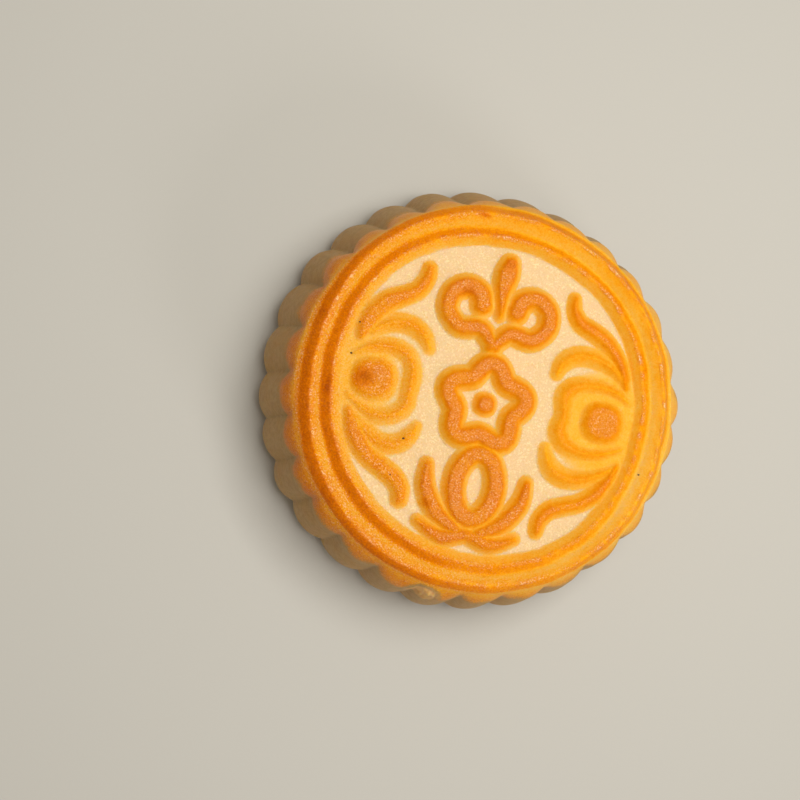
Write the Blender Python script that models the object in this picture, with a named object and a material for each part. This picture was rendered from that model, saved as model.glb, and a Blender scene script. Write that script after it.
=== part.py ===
"""A round moulded mooncake: one solid pastry with a fluted side and a pressed top.

The cake stands on its flat base, centred on the Z axis.  +X points from the middle of the
face to one of its two pearls, and +Y runs up the column of three ornaments.
"""
import math

import bmesh
import bpy
from mathutils import Matrix, Vector

MM = 0.001

# Side wall: radii are those of the grooves between two flutes.
OUTER_DIAMETER = 75.0 * MM
CREST_HEIGHT = 24.5 * MM
FLUTES = 28
STEPS_PER_FLUTE = 6
FLUTE_TURN_DEG = 3.3
FLUTE_DEPTH = 1.3 * MM
FLUTE_ROUNDNESS = 2.2
BULGE_HEIGHT = 5.0 * MM
BASE_CORNER = 1.5 * MM
BASE_FLUTE_SHARE = 0.6
CORNER_INSET_SHARE = 0.3
CORNER_HEIGHT_SHARE = 0.5
CORNER_FLUTE_SHARE = 0.9
SHOULDER_DROP = 6.0 * MM
WALL_LEAN = 2.6 * MM
WALL_CURVE = 1.5
WALL_ROWS = 3
SHOULDER_ROWS = 4

# Pressed face: heights are measured down from the crest of the outer ring.
LEDGE_RADIUS = 32.2 * MM
LEDGE_DROP = 1.5 * MM
OUTER_RING_RADIUS = 30.7 * MM
VALLEY_RADIUS = 28.9 * MM
VALLEY_DROP = 1.2 * MM
INNER_RING_RADIUS = 27.2 * MM
INNER_RING_DROP = 0.2 * MM
FLOOR_RADIUS = 24.8 * MM
FLOOR_DROP = 2.1 * MM
CREST_HALF_WIDTH = 0.35 * MM

# Raised strokes: a stroke is a round bar sunk into the floor a little past its middle.
STROKE_SINK = 0.23 * MM
STROKE_SIDES_RESOLUTION = 2
STROKE_STEPS = 4
STROKE_FLATNESS = 0.85
MERGE_DISTANCE = 0.001 * MM
DOME_SEGMENTS = 16
DOME_RINGS = 8
PEARL_RADIUS = 3.3 * MM
PEARL_RISE = 1.7 * MM
PEARL_PLACE = (20.3, -0.4)
FACE_CENTRE = (0.0, 0.0)

# Side ornaments on the +X half in millimetres: x, y, half width.
FLAME_ABOVE = ((23.6, 6.6, 1.9), (20.6, 11.2, 2.0), (16.2, 14.1, 1.7), (13.2, 16.6, 1.4), (12.3, 20.0, 0.8))
FLAME_BELOW = ((23.4, -8.2, 1.9), (20.4, -12.2, 2.0), (16.2, -15.4, 1.7), (12.3, -18.2, 1.5), (11.2, -21.3, 0.9))
CRESCENT_ABOVE = ((23.0, 7.2, 1.2), (19.2, 9.9, 1.5), (15.4, 10.2, 1.5), (12.3, 8.4, 1.3), (10.7, 5.7, 0.8))
CRESCENT_BELOW = ((23.6, -8.0, 1.2), (19.6, -10.0, 1.5), (15.7, -10.7, 1.5), (12.6, -9.6, 1.3), (10.9, -7.0, 0.8))
CLASP = (
    (24.0, 3.8, 1.1),
    (20.2, 5.4, 1.4),
    (16.2, 5.2, 1.5),
    (13.4, 3.2, 1.5),
    (12.7, 1.1, 1.4),
    (13.3, -0.9, 1.2),
    (12.8, -2.9, 1.4),
    (14.0, -5.4, 1.5),
    (17.4, -6.7, 1.5),
    (20.4, -6.3, 1.4),
    (24.0, -4.6, 1.1),
)

# Middle column: height of each ornament's centre and the sizes of its strokes.
CLOUD_CENTRE = (-0.9, 15.4)
BLOSSOM_CENTRE = (-0.3, -1.4)
LOTUS_CENTRE = (0.6, -16.4)
COLUMN_HALF_WIDTH = 1.6
CLOUD_STEM = ((-0.5, -7.2, 1.3), (0.9, -5.9, 1.5))
CLOUD_CURL_CENTRE = (5.3, -0.6)
CLOUD_CURL_REACH = (4.5, 2.6)
CLOUD_CURL_DEG = (-125.0, 165.0)
CLOUD_CURL_HALF_WIDTH = (1.6, 1.7)
CLOUD_CURL_POINTS = 7
CLOUD_BUD = ((0.3, -1.6, 1.0), (-0.1, 2.4, 1.5), (0.1, 5.2, 2.0), (0.4, 7.8, 1.6))
BLOSSOM_PETALS = 5
BLOSSOM_RADIUS = 6.1
BLOSSOM_LOBE = 0.75
BLOSSOM_STEPS_PER_PETAL = 8
BLOSSOM_HEART_RADIUS = 2.1 * MM
BLOSSOM_HEART_RISE = 1.6 * MM
LOTUS_PETAL_HALF_WIDTH = 3.4
LOTUS_PETAL_HALF_LENGTH = 5.5
LOTUS_PETAL_RISE = 1.1
LOTUS_PETAL_STEPS = 24
LOTUS_SIDE = ((2.0, -6.6, 1.4), (5.6, -4.4, 1.8), (8.2, -0.6, 1.7), (8.7, 3.6, 1.0))
LOTUS_LEAF = ((-8.7, -6.3, 1.0), (-4.2, -8.2, 1.6), (0.1, -7.2, 1.5), (4.3, -8.1, 1.6), (8.6, -6.4, 1.0))

CRUST_COLOUR = (0.78, 0.42, 0.12, 1.0)
CRUST_ROUGHNESS = 0.45


def clear_scene():
    """Take every object out of the scene, so that the model stands alone."""
    for item in list(bpy.data.objects):
        bpy.data.objects.remove(item, do_unlink=True)


def crust_material():
    """Return the plain golden crust."""
    crust = bpy.data.materials.new("crust")
    crust.use_nodes = True
    shader = crust.node_tree.nodes["Principled BSDF"]
    shader.inputs["Base Color"].default_value = CRUST_COLOUR
    shader.inputs["Roughness"].default_value = CRUST_ROUGHNESS
    shader.inputs["Metallic"].default_value = 0.0
    return crust


def flute_bulge(step):
    """Return how far a flute stands out of its groove at an angular step, from 0 to 1."""
    across = 2.0 * (step % STEPS_PER_FLUTE) / STEPS_PER_FLUTE - 1.0
    return 1.0 - abs(across) ** FLUTE_ROUNDNESS


def side_rows():
    """Return the rows of the side from base to ledge: groove radius, height, flute depth."""
    foot = OUTER_DIAMETER / 2 - FLUTE_DEPTH
    corner = foot - BASE_CORNER * CORNER_INSET_SHARE
    shoulder = foot - WALL_LEAN
    shoulder_height = CREST_HEIGHT - SHOULDER_DROP
    rows = [
        (foot - BASE_CORNER, 0.0, FLUTE_DEPTH * BASE_FLUTE_SHARE),
        (corner, BASE_CORNER * CORNER_HEIGHT_SHARE, FLUTE_DEPTH * CORNER_FLUTE_SHARE),
    ]
    for row in range(WALL_ROWS):
        share = row / (WALL_ROWS - 1)
        height = BULGE_HEIGHT + share * (shoulder_height - BULGE_HEIGHT)
        rows.append((foot - WALL_LEAN * share ** WALL_CURVE, height, FLUTE_DEPTH))
    rise = SHOULDER_DROP - LEDGE_DROP
    for row in range(1, SHOULDER_ROWS + 1):
        turn = math.radians(90.0 * row / SHOULDER_ROWS)
        radius = LEDGE_RADIUS + (shoulder - LEDGE_RADIUS) * math.cos(turn)
        rows.append((radius, shoulder_height + rise * math.sin(turn), FLUTE_DEPTH * math.cos(turn)))
    return rows


def face_rows():
    """Return the rows of the pressed face from the outer ring in to the floor."""
    outer = CREST_HEIGHT
    valley = CREST_HEIGHT - VALLEY_DROP
    inner = CREST_HEIGHT - INNER_RING_DROP
    floor = CREST_HEIGHT - FLOOR_DROP
    return [
        (OUTER_RING_RADIUS + CREST_HALF_WIDTH, outer, 0.0),
        (OUTER_RING_RADIUS - CREST_HALF_WIDTH, outer, 0.0),
        (VALLEY_RADIUS, valley, 0.0),
        (INNER_RING_RADIUS + CREST_HALF_WIDTH, inner, 0.0),
        (INNER_RING_RADIUS - CREST_HALF_WIDTH, inner, 0.0),
        (FLOOR_RADIUS, floor, 0.0),
    ]


def place_row(verts, row):
    """Move one ring of vertices to its radius and height, with the flutes standing out."""
    radius, height, flute = row
    for vert in verts:
        angle = math.atan2(vert.co.y, vert.co.x)
        step = round(angle * FLUTES * STEPS_PER_FLUTE / math.tau)
        reach = radius + flute * flute_bulge(step)
        vert.co = Vector((reach * math.cos(angle), reach * math.sin(angle), height))


def cake_body(crust):
    """Raise the cake from a round base, ring by ring, and close the floor of its face."""
    mesh = bmesh.new()
    steps = FLUTES * STEPS_PER_FLUTE
    made = bmesh.ops.create_circle(mesh, cap_ends=True, segments=steps, radius=1.0)
    ring = made["verts"]
    edges = [edge for edge in mesh.edges]
    rows = side_rows() + face_rows()
    place_row(ring, rows[0])
    for row in rows[1:]:
        grown = bmesh.ops.extrude_edge_only(mesh, edges=edges)["geom"]
        ring = [item for item in grown if isinstance(item, bmesh.types.BMVert)]
        edges = [item for item in grown if isinstance(item, bmesh.types.BMEdge) and item.is_boundary]
        place_row(ring, row)
    bmesh.ops.edgeloop_fill(mesh, edges=edges)
    turn = Matrix.Rotation(math.radians(FLUTE_TURN_DEG), 3, "Z")
    bmesh.ops.rotate(mesh, cent=Vector(), matrix=turn, verts=mesh.verts)
    bmesh.ops.recalc_face_normals(mesh, faces=mesh.faces)
    data = bpy.data.meshes.new("mooncake")
    mesh.to_mesh(data)
    mesh.free()
    cake = bpy.data.objects.new("mooncake", data)
    bpy.context.collection.objects.link(cake)
    data.materials.append(crust)
    return cake


def as_tool(item):
    """Mark an object as a tool that only shapes the cake."""
    item.hide_render = True
    item.display_type = "WIRE"


def between(before, start, end, after, share):
    """Return the value at a share of the way from start to end on a smooth curve."""
    slope = end - before
    bend = 2 * before - 5 * start + 4 * end - after
    twist = 3 * start - before - 3 * end + after
    return start + 0.5 * (slope * share + bend * share ** 2 + twist * share ** 3)


def smooth_points(points):
    """Return points along a smooth curve that passes through the given x, y, half width."""
    result = []
    for span in range(len(points) - 1):
        nearby = (points[max(span - 1, 0)], points[span], points[span + 1], points[min(span + 2, len(points) - 1)])
        for step in range(STROKE_STEPS):
            share = step / STROKE_STEPS
            result.append(tuple(between(*values, share) for values in zip(*nearby)))
    result.append(points[-1])
    return result


def stroke_tool(name, path, closed=False):
    """Make a round bar along a path in the floor, given as x, y, half width in millimetres."""
    line = bpy.data.curves.new(name, "CURVE")
    line.dimensions = "3D"
    line.bevel_depth = 1.0
    line.bevel_resolution = STROKE_SIDES_RESOLUTION
    line.use_fill_caps = True
    spline = line.splines.new("POLY")
    spline.points.add(len(path) - 1)
    spline.use_cyclic_u = closed
    for point, (x, y, half_width) in zip(spline.points, path):
        point.co = (x * MM, y * MM, 0.0, 1.0)
        point.radius = half_width * MM
    bar = bpy.data.objects.new(name, line)
    bpy.context.collection.objects.link(bar)
    data = bpy.data.meshes.new_from_object(bar)
    bpy.data.objects.remove(bar, do_unlink=True)
    mesh = bmesh.new()
    mesh.from_mesh(data)
    bmesh.ops.remove_doubles(mesh, verts=mesh.verts, dist=MERGE_DISTANCE)
    bmesh.ops.scale(mesh, vec=(1.0, 1.0, STROKE_FLATNESS), verts=mesh.verts)
    bmesh.ops.translate(mesh, vec=(0.0, 0.0, CREST_HEIGHT - FLOOR_DROP - STROKE_SINK), verts=mesh.verts)
    bmesh.ops.recalc_face_normals(mesh, faces=mesh.faces)
    mesh.to_mesh(data)
    mesh.free()
    tool = bpy.data.objects.new(name, data)
    bpy.context.collection.objects.link(tool)
    as_tool(tool)
    return tool


def dome_tool(name, centre, radius, rise):
    """Make a flattened ball whose upper half stands out of the floor."""
    mesh = bmesh.new()
    bmesh.ops.create_uvsphere(mesh, u_segments=DOME_SEGMENTS, v_segments=DOME_RINGS, radius=1.0)
    bmesh.ops.scale(mesh, vec=(radius, radius, rise), verts=mesh.verts)
    place = Vector((centre[0] * MM, centre[1] * MM, CREST_HEIGHT - FLOOR_DROP - STROKE_SINK))
    bmesh.ops.translate(mesh, vec=place, verts=mesh.verts)
    data = bpy.data.meshes.new(name)
    mesh.to_mesh(data)
    mesh.free()
    tool = bpy.data.objects.new(name, data)
    bpy.context.collection.objects.link(tool)
    as_tool(tool)
    return tool


def moved(points, centre, side=1):
    """Shift stroke points to a centre, mirrored across the column where side is -1."""
    return tuple((centre[0] + side * x, centre[1] + y, half_width) for x, y, half_width in points)


def side_ornaments():
    """Make flames, crescents, clasp and pearl on both halves of the face."""
    strokes = (
        ("flame_above", FLAME_ABOVE),
        ("flame_below", FLAME_BELOW),
        ("crescent_above", CRESCENT_ABOVE),
        ("crescent_below", CRESCENT_BELOW),
        ("clasp", CLASP),
    )
    tools = []
    for side in (-1, 1):
        for name, points in strokes:
            tools.append(stroke_tool(f"{name}_{side}", smooth_points(moved(points, FACE_CENTRE, side))))
        pearl_centre = (side * PEARL_PLACE[0], PEARL_PLACE[1])
        tools.append(dome_tool(f"pearl_{side}", pearl_centre, PEARL_RADIUS, PEARL_RISE))
    return tools


def cloud_scroll():
    """Return a scroll that leaves the foot of the cloud and curls inwards to a knob."""
    points = list(CLOUD_STEM)
    for step in range(CLOUD_CURL_POINTS):
        share = step / (CLOUD_CURL_POINTS - 1)
        turn, reach, half_width = (
            first + share * (last - first)
            for first, last in (CLOUD_CURL_DEG, CLOUD_CURL_REACH, CLOUD_CURL_HALF_WIDTH)
        )
        angle = math.radians(turn)
        x = CLOUD_CURL_CENTRE[0] + reach * math.cos(angle)
        y = CLOUD_CURL_CENTRE[1] + reach * math.sin(angle)
        points.append((x, y, half_width))
    return points


def lotus_petal():
    """Return the closed outline of the upright middle petal of the lotus."""
    points = []
    for step in range(LOTUS_PETAL_STEPS):
        angle = math.tau * step / LOTUS_PETAL_STEPS
        x = LOTUS_PETAL_HALF_WIDTH * math.cos(angle)
        y = LOTUS_PETAL_RISE + LOTUS_PETAL_HALF_LENGTH * math.sin(angle)
        points.append((x, y, COLUMN_HALF_WIDTH))
    return points


def blossom_outline():
    """Return the closed wavy outline of a blossom as points in millimetres."""
    count = BLOSSOM_PETALS * BLOSSOM_STEPS_PER_PETAL
    points = []
    for step in range(count):
        angle = math.tau * step / count + math.pi / 2
        reach = BLOSSOM_RADIUS + BLOSSOM_LOBE * math.cos(BLOSSOM_PETALS * (angle - math.pi / 2))
        points.append((reach * math.cos(angle), reach * math.sin(angle), COLUMN_HALF_WIDTH))
    return points


def column_ornaments():
    """Make the cloud, the blossom and the lotus that stand in the middle column."""
    pairs = (
        ("cloud_scroll", cloud_scroll(), CLOUD_CENTRE),
        ("lotus_side", LOTUS_SIDE, LOTUS_CENTRE),
    )
    tools = []
    for side in (-1, 1):
        for name, points, centre in pairs:
            tools.append(stroke_tool(f"{name}_{side}", smooth_points(moved(points, centre, side))))
    tools.append(stroke_tool("cloud_bud", smooth_points(moved(CLOUD_BUD, CLOUD_CENTRE))))
    tools.append(stroke_tool("lotus_leaf", smooth_points(moved(LOTUS_LEAF, LOTUS_CENTRE))))
    tools.append(stroke_tool("lotus_petal", moved(lotus_petal(), LOTUS_CENTRE), closed=True))
    tools.append(stroke_tool("blossom_rim", moved(blossom_outline(), BLOSSOM_CENTRE), closed=True))
    tools.append(dome_tool("blossom_heart", BLOSSOM_CENTRE, BLOSSOM_HEART_RADIUS, BLOSSOM_HEART_RISE))
    return tools


def join_to(cake, tools):
    """Unite the raised ornaments with the cake into one solid."""
    for tool in tools:
        union = cake.modifiers.new(tool.name, "BOOLEAN")
        union.operation = "UNION"
        union.solver = "EXACT"
        union.object = tool


def main():
    """Build the mooncake."""
    clear_scene()
    cake = cake_body(crust_material())
    join_to(cake, side_ornaments() + column_ornaments())


main()
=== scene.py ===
"""A round moulded mooncake with a fluted side and an egg-washed, pressed top, on a pale table.

The cake is one skin.  It is laid out flat as a disc, row by row, and then formed: the middle of
the disc becomes the pressed face, and the outer rows fold down over the shoulder, the fluted
side and the foot to the middle of the base.  Lengths in the classes are millimetres, angles are
degrees, and +X points from the middle of the face to its right-hand pearl.
"""

import logging
import math
from dataclasses import astuple, dataclass, field, replace
from enum import Enum

import bmesh
import bpy
import numpy as np
from mathutils import Matrix, Vector


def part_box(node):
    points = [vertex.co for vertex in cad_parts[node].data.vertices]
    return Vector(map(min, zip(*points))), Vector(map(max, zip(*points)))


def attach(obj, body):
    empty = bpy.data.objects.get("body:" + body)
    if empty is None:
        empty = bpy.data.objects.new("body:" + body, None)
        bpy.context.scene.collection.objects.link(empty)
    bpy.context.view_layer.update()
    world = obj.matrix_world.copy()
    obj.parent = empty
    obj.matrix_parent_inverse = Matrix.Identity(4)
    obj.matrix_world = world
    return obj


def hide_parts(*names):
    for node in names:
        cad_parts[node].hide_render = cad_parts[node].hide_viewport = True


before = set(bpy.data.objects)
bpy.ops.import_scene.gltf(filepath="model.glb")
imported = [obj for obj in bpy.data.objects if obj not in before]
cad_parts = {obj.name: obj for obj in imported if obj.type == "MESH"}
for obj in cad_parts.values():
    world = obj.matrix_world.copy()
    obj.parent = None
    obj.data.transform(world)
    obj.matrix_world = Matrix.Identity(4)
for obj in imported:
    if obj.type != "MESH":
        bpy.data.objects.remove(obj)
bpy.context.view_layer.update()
MM = 0.001
NODE = "mooncake"
LOG = logging.getLogger("mooncake")

Row = tuple[float, float, float]
Wave = tuple[int, float, float]
Colour = tuple[float, float, float, float]


class Mark(Enum):
    """What is painted on the skin, point by point, for the crust's finish to read."""

    BAKED = "baked"
    TOASTED = "toasted"
    SIDE = "side"
    FOOT = "foot"
    GRAINY = "grainy"


def smooth_max(first: np.ndarray, second: np.ndarray, reach: float) -> np.ndarray:
    """Return the larger of two heights with a soft fillet where they meet.

    Args:
        first: Heights of one surface.
        second: Heights of the other surface.
        reach: Difference in height over which the two blend.

    Returns:
        The blended heights.
    """
    share = np.clip(0.5 + 0.5 * (first - second) / reach, 0.0, 1.0)
    return second * (1.0 - share) + first * share + reach * share * (1.0 - share)


def ease(value: np.ndarray, start: float, end: float) -> np.ndarray:
    """Return 0 before start, 1 past end and a smooth step between them."""
    share = np.clip((value - start) / (end - start), 0.0, 1.0)
    return share * share * (3.0 - 2.0 * share)


@dataclass(frozen=True)
class Ripple:
    """Soft unevenness, as dough has: a sum of waves that run in seeded directions."""

    seed: int
    length: float
    waves: int = 7

    def at(self, x: np.ndarray, y: np.ndarray) -> np.ndarray:
        """Return the unevenness at points of a plane, about -1 to 1.

        Args:
            x: First coordinates in millimetres.
            y: Second coordinates in millimetres.

        Returns:
            One value for each point.
        """
        draw = np.random.default_rng(self.seed)
        total = np.zeros_like(x)
        for _ in range(self.waves):
            heading, phase = draw.uniform(0.0, math.tau, 2)
            pace = math.tau / (self.length * draw.uniform(0.6, 1.6))
            total += np.sin((x * math.cos(heading) + y * math.sin(heading)) * pace + phase)
        return total / math.sqrt(self.waves * 2.0)


@dataclass(frozen=True)
class Drift:
    """How far a ring strays from a true circle: waves of a count, a reach and a heading."""

    waves: tuple[Wave, ...]

    def at(self, angle: np.ndarray) -> np.ndarray:
        """Return the stray at angles around the cake, in millimetres."""
        return sum(reach * np.cos(count * (angle - math.radians(heading))) for count, reach, heading in self.waves)


@dataclass(frozen=True)
class Relief:
    """Heights and marks of the pressed face at a set of points."""

    height: np.ndarray
    baked: np.ndarray
    toasted: np.ndarray

    def joined(self, other: "Relief", fillet: float) -> "Relief":
        """Return both reliefs pressed into one face, the higher of them showing.

        Args:
            other: The second relief, at the same points.
            fillet: Height over which the two blend.

        Returns:
            The joined relief.
        """
        share = ease(self.height - other.height, -1.6 * fillet, 1.6 * fillet)
        return Relief(
            smooth_max(self.height, other.height, fillet),
            self.baked * share + other.baked * (1.0 - share),
            self.toasted * share + other.toasted * (1.0 - share),
        )


@dataclass(frozen=True)
class Pressing:
    """How a raised piece of the pattern is shaped and baked, from its foot to its top."""

    rise: float
    flank: float
    foot_tone: float
    top_tone: float
    toasting: float
    spread: float = 0.4
    halo: float = 2.2
    roundness: float = 0.35

    def relief(self, depth: np.ndarray) -> Relief:
        """Return the relief of a piece.

        Args:
            depth: How far each point lies inside the piece's outline.

        Returns:
            The relief at those points.
        """
        share = np.clip(depth / self.flank, 0.0, 1.0)
        climb = self.roundness * ease(share, 0.0, 1.0) + (1.0 - self.roundness) * share
        foot = self.foot_tone * (0.3 * ease(depth, -self.halo, 0.2) + 0.7 * ease(depth, -self.spread, self.spread))
        shift = (self.top_tone - self.foot_tone) * ease(share, 0.35, 1.0)
        toasted = self.toasting * ease(depth, 0.80 * self.flank, 1.25 * self.flank)
        return Relief(self.rise * climb, foot + shift, toasted)


@dataclass(frozen=True)
class Stroke:
    """A raised stroke of the pattern along a smooth line of points."""

    points: tuple[Row, ...]
    pressing: Pressing
    closed: bool = False
    step: float = 0.35

    def moved(self, centre: tuple[float, float], side: int = 1) -> "Stroke":
        """Return this stroke at a centre, mirrored if side is -1."""
        points = tuple((centre[0] + side * x, centre[1] + y, width) for x, y, width in self.points)
        return replace(self, points=points)

    def line(self) -> np.ndarray:
        """Return closely spaced x, y, half width along a smooth curve through the points."""
        knots = np.array(self.points)
        count = len(knots)
        runs = []
        for span in range(count if self.closed else count - 1):
            if self.closed:
                before, start, end, after = (knots[(span + shift) % count] for shift in (-1, 0, 1, 2))
            else:
                start, end = knots[span], knots[span + 1]
                before, after = knots[max(span - 1, 0)], knots[min(span + 2, count - 1)]
            pieces = max(2, round(float(np.linalg.norm((end - start)[:2])) / self.step))
            share = np.arange(pieces)[:, None] / pieces
            slope = end - before
            bend = 2 * before - 5 * start + 4 * end - after
            twist = 3 * start - before - 3 * end + after
            runs.append(start + 0.5 * (slope * share + bend * share**2 + twist * share**3))
        runs.append(knots[:1] if self.closed else knots[-1:])
        return np.concatenate(runs)

    def relief(self, x: np.ndarray, y: np.ndarray) -> Relief:
        """Return the stroke's own relief over a flat floor.

        Args:
            x: First coordinates of the points.
            y: Second coordinates of the points.

        Returns:
            The relief, zero away from the stroke.
        """
        line = self.line()
        margin = line[:, 2].max() + 2.4
        low, high = line[:, :2].min(axis=0) - margin, line[:, :2].max(axis=0) + margin
        near = np.flatnonzero((x > low[0]) & (x < high[0]) & (y > low[1]) & (y < high[1]))
        place = np.stack([x[near], y[near]], axis=1)[:, None, :]
        start, run = line[:-1, :2], np.diff(line[:, :2], axis=0)
        along = ((place - start) * run).sum(axis=2) / np.maximum((run**2).sum(axis=1), 1e-9)
        along = np.clip(along, 0.0, 1.0)
        away = np.linalg.norm(place - start - along[..., None] * run, axis=2)
        inside = line[:-1, 2] + along * np.diff(line[:, 2]) - away
        depth = np.full_like(x, -margin)
        depth[near] = inside.max(axis=1)
        return self.pressing.relief(depth)


@dataclass(frozen=True)
class Boss:
    """A rounded boss, such as a pearl or the heart of a blossom."""

    centre: tuple[float, float]
    reach: tuple[float, float]
    pressing: Pressing
    squareness: float = 2.4

    def relief(self, x: np.ndarray, y: np.ndarray) -> Relief:
        """Return the boss's own relief over a flat floor."""
        across = np.abs(x - self.centre[0]) / self.reach[0]
        along = np.abs(y - self.centre[1]) / self.reach[1]
        away = (across**self.squareness + along**self.squareness) ** (1.0 / self.squareness)
        return self.pressing.relief((1.0 - away) * min(self.reach))


@dataclass(frozen=True)
class Scorch:
    """A spot that has caught more heat than its surroundings."""

    centre: tuple[float, float]
    reach: tuple[float, float]
    strength: float

    def at(self, x: np.ndarray, y: np.ndarray) -> np.ndarray:
        """Return how much the spot darkens each point."""
        away = np.hypot((x - self.centre[0]) / self.reach[0], (y - self.centre[1]) / self.reach[1])
        return self.strength * ease(-away, -1.0, -0.2)


def rounded_line(radius: np.ndarray, stations: list[tuple[np.ndarray, np.ndarray]]) -> np.ndarray:
    """Return a value that runs through stations along the radius, rounded and without overshoot.

    Args:
        radius: Radii of the points.
        stations: Radius and value of each station, outwards, for every point.

    Returns:
        The value at each point.
    """
    places = np.array([np.broadcast_to(place, radius.shape) for place, _ in stations])
    values = np.array([np.broadcast_to(value, radius.shape) for _, value in stations])
    runs = np.maximum(np.diff(places, axis=0), 0.05)
    slopes = np.diff(values, axis=0) / runs
    product = slopes[:-1] * slopes[1:]
    total = np.where(product > 0.0, slopes[:-1] + slopes[1:], 1.0)
    bends = np.zeros_like(values)
    bends[1:-1] = np.where(product > 0.0, 2.0 * product / total, 0.0)
    line = values[0].copy()
    for index, run in enumerate(runs):
        share = np.clip((radius - places[index]) / run, 0.0, 1.0)
        rise = share * share * (3.0 - 2.0 * share)
        start = share * (1.0 - share) ** 2
        end = share**2 * (share - 1.0)
        piece = (values[index + 1] - values[index]) * rise + run * (bends[index] * start + bends[index + 1] * end)
        line = line + piece
    return line


@dataclass(frozen=True)
class Rim:
    """The two rings, the valley between them and the ledge where the shoulder starts."""

    floor: float = 24.4
    inner_crest: float = 27.44
    outer_crest: float = 30.94
    edge: float = 32.6
    flank: float = 2.0
    fall: float = 1.1
    brown_fall: float = 0.85
    inner_rise: float = 1.45
    outer_rise: float = 2.1
    valley_rise: float = 1.22
    ledge_drop: float = 1.25
    slump: float = 0.45
    ledge_gap: float = 1.7
    inner_drift: Drift = Drift(((1, 0.46, 295.0), (2, 0.60, 119.0), (3, 0.15, 33.0), (4, 0.23, 39.0)))
    outer_drift: Drift = Drift(((1, 0.45, 282.0), (2, 0.49, 110.0), (3, 0.14, 6.0), (4, 0.20, 43.0)))
    edge_drift: Drift = Drift(((1, 0.70, 250.0), (1, 0.25, 120.0), (2, 0.25, 125.0)))
    wobble: Ripple = Ripple(11, 6.0)
    wobble_reach: float = 0.12
    # the crests carry a patchy toasted band that rises past 1, where the crust's finish paints sparkle: a painted
    # highlight
    painted_sparkle_patches: Ripple = Ripple(12, 2.6)
    crest_toast_and_sparkle: float = 1.25
    # painted shade: the rim and shoulder are browner and darker on this side, away from the lamps; partly real
    # browning, partly painted shade
    brown_and_shade_heading: float = 202.0
    brown_and_shade_focus: float = 1.35
    # painted light: the rim's tones are made lighter on the side that faces the side lamp
    light_heading: float = 320.0
    light_fade: float = 0.09
    ledge_fade: float = 0.08
    ledge_toast: float = 0.5
    ledge_fade_heading: float = 150.0
    slope_grain: float = 0.28
    pale_tones: tuple[float, ...] = (
        0.03, 0.27, 0.38, 0.48, 0.58, 0.56, 0.38, 0.32, 0.41, 0.49, 0.58, 0.56, 0.38, 0.34,
    )
    # tones on the side away from the lamps, where the extra browning is partly painted shade
    brown_and_shade_tones: tuple[float, ...] = (
        0.03, 0.26, 0.40, 0.55, 0.77, 0.82, 0.72, 0.43, 0.47, 0.57, 0.77, 0.83, 0.70, 0.52,
    )

    def edge_at(self, angle: np.ndarray) -> np.ndarray:
        """Return the radius of the ledge's outer edge at angles around the cake."""
        return self.edge + self.edge_drift.at(angle)

    def ledge_at(self, angle: np.ndarray) -> np.ndarray:
        """Return the height of the ledge over the floor at angles around the cake."""
        gap = self.edge_at(angle) - self.outer_crest - self.outer_drift.at(angle)
        return self.outer_rise - self.ledge_drop * np.clip(gap / self.ledge_gap, 0.4, 1.0)

    def browning_and_shade(self, angle: np.ndarray) -> np.ndarray:
        """Return how much browner and darker one side of the rim is, from 0 to 1: partly real browning, partly
        painted shade on the side away from the lamps.
        """
        return (0.5 + 0.5 * np.cos(angle - math.radians(self.brown_and_shade_heading))) ** self.brown_and_shade_focus

    def painted_light(self, angle: np.ndarray) -> np.ndarray:
        """Return the painted light: how much lighter the rim is coloured on the side that faces the side lamp."""
        return self.light_fade * ease(np.cos(angle - math.radians(self.light_heading)), 0.4, 0.9)

    def ledge_tone(self, angle: np.ndarray) -> np.ndarray:
        """Return the tone of the ledge's outer edge at angles around the cake: its baking, with painted shade on the
        side away from the lamps and painted light on the side that faces the side lamp.
        """
        tone = self.pale_tones[-1] + (self.brown_and_shade_tones[-1] - self.pale_tones[-1]) * self.browning_and_shade(angle)
        fade = self.ledge_fade * ease(np.cos(angle - math.radians(self.ledge_fade_heading)), 0.6, 0.95)
        # the lower tone on the side that faces the side lamp is painted light
        return tone - fade - np.minimum(self.painted_light(angle), 0.3 * tone)

    def relief(self, x: np.ndarray, y: np.ndarray) -> Relief:
        """Return the relief of the whole rim at points of the face."""
        radius, angle = np.hypot(x, y), np.arctan2(y, x)
        brown_and_shade = self.browning_and_shade(angle)
        wobble = self.wobble_reach * self.wobble.at(x, y)
        inner = self.inner_crest + self.inner_drift.at(angle) + wobble
        outer = self.outer_crest + self.outer_drift.at(angle) - wobble
        foot, edge, fall = inner - self.flank, self.edge_at(angle), self.fall + self.brown_fall * brown_and_shade
        low = np.minimum(inner + fall, 0.38 * inner + 0.62 * outer)
        last = np.minimum(outer + fall, edge - 0.15)
        ledge = self.ledge_at(angle)
        slump = self.slump * brown_and_shade
        height = rounded_line(radius, [
            (foot, 0.0), (foot + 0.5 * self.flank, 0.58 * self.inner_rise), (inner, self.inner_rise),
            (low, self.valley_rise), (0.5 * (low + outer), 0.45 * self.valley_rise + 0.55 * self.outer_rise),
            (outer, self.outer_rise), (last, ledge + slump), (edge, ledge - 0.2 * slump),
        ])
        places = [
            foot - 0.5, foot + 0.3, inner - 0.6, inner, inner + 0.35, inner + 0.75 * fall, low, low + 0.5,
            outer - 0.9, outer, outer + 0.35, outer + 0.8 * fall, last, edge,
        ]
        tones = [pale + (browned_and_shaded - pale) * brown_and_shade for pale, browned_and_shaded in zip(self.pale_tones, self.brown_and_shade_tones)]
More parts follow.
